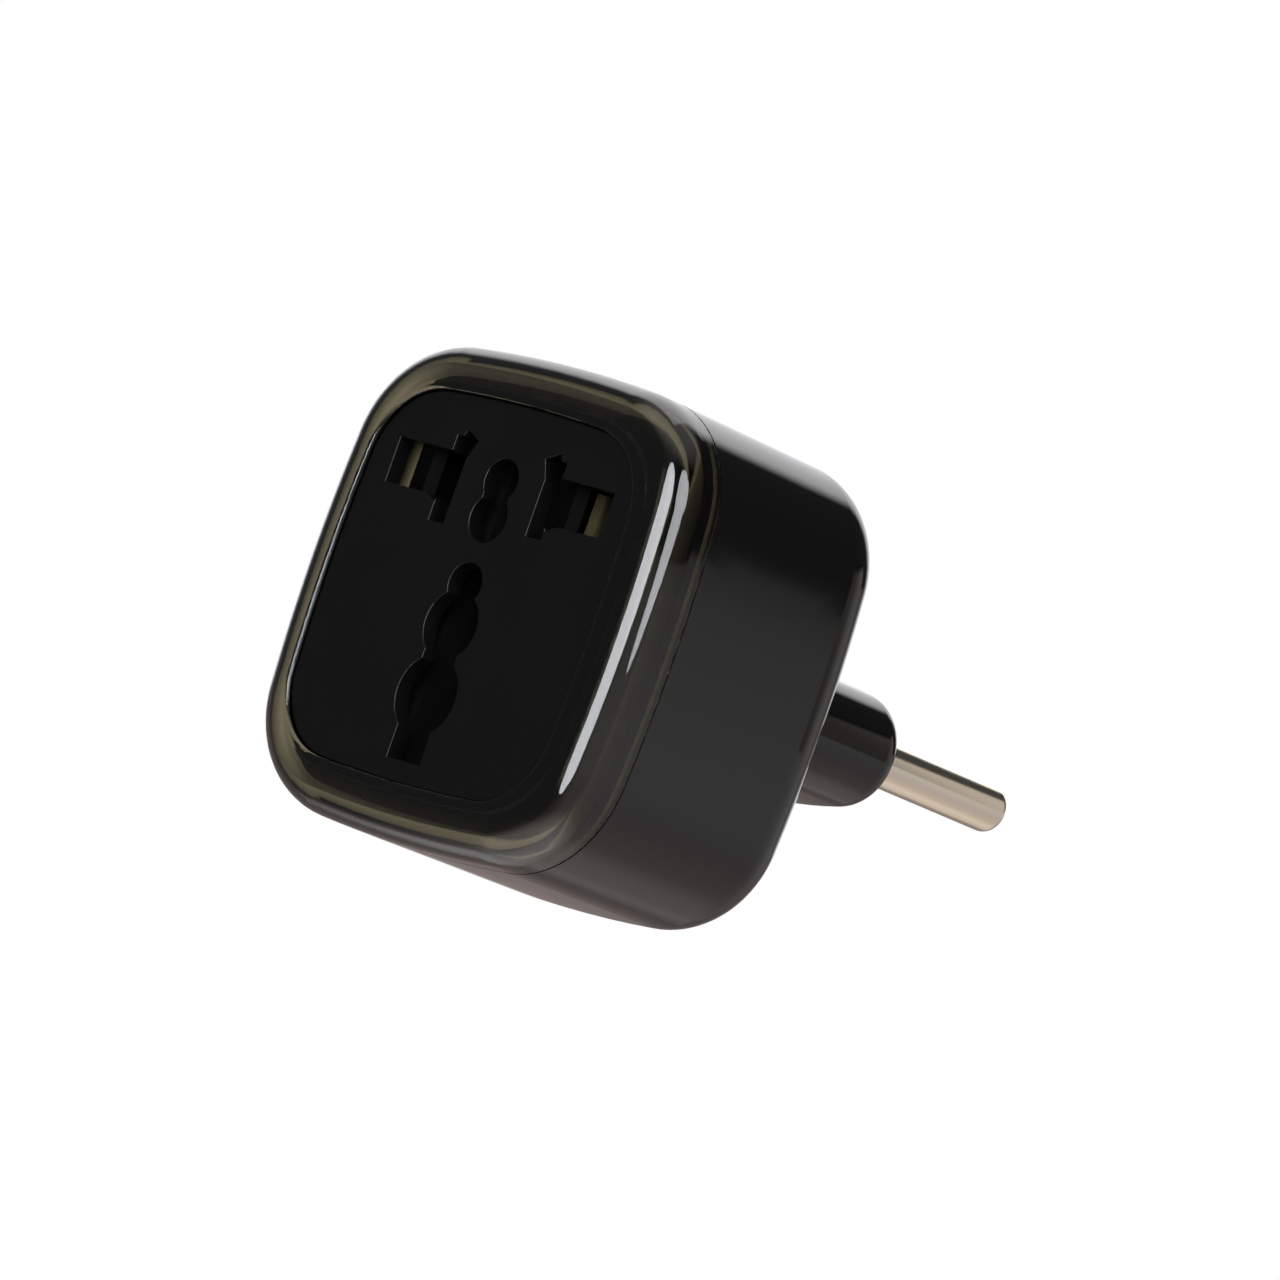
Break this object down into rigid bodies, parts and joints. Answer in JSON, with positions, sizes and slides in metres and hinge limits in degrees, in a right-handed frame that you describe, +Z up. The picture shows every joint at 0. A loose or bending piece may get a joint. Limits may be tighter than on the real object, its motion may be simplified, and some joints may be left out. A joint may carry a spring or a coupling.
{
  "type": "grounding plug adapter",
  "caption": "Black universal socket adapter: a rounded square body with shuttered flat, blade and earth openings in front and an oval stem with round plug pins behind.",
  "frame": {"origin": "middle of the stem's end face, between the two plug pins", "axes": "+Y along the pins, away from the body; +Z up, from the earth opening to the pole openings; +X to the right as seen from the front"},
  "size_m": [0.0472, 0.0704, 0.0486],
  "materials": {
    "satin_black": "satin moulded",
    "gloss_black": "polished moulded",
    "inner_black": "dull moulded",
    "smoked_clear": "smoked clear, polished moulded",
    "shutter_black": "dull moulded",
    "nickel_plated_brass": "turned, nickel plated",
    "contact_brass": "rolled strip",
    "zinc_steel": "zinc plated",
    "black_steel": "black oxide",
    "spring_steel": "drawn wire"
  },
  "bodies": {
    "adapter": {"face_plate": "satin_black", "front_bezel": "smoked_clear", "rear_housing": "gloss_black", "contact_base": "inner_black", "pin_retainer": "inner_black", "live_pin": "nickel_plated_brass", "neutral_pin": "nickel_plated_brass", "live_contact": "contact_brass", "neutral_contact": "contact_brass", "earth_contact": "contact_brass", "live_strap": "contact_brass", "neutral_strap": "contact_brass", "contact_rivets": "contact_brass", "pin_screws": "zinc_steel", "pin_washers": "zinc_steel", "base_screws": "zinc_steel", "case_screws": "black_steel", "shutter_spring": "spring_steel"},
    "shutter": {"safety_shutter": "shutter_black"}
  },
  "joints": [
    {"name": "shutter_slide", "type": "slide", "parent": "adapter", "child": "shutter", "axis": [-1, 0, 0], "range_m": [0, 0.0031], "stiffness_N_per_m": 120, "springref_m": -0.001, "deforming": ["shutter_spring"]}
  ]
}
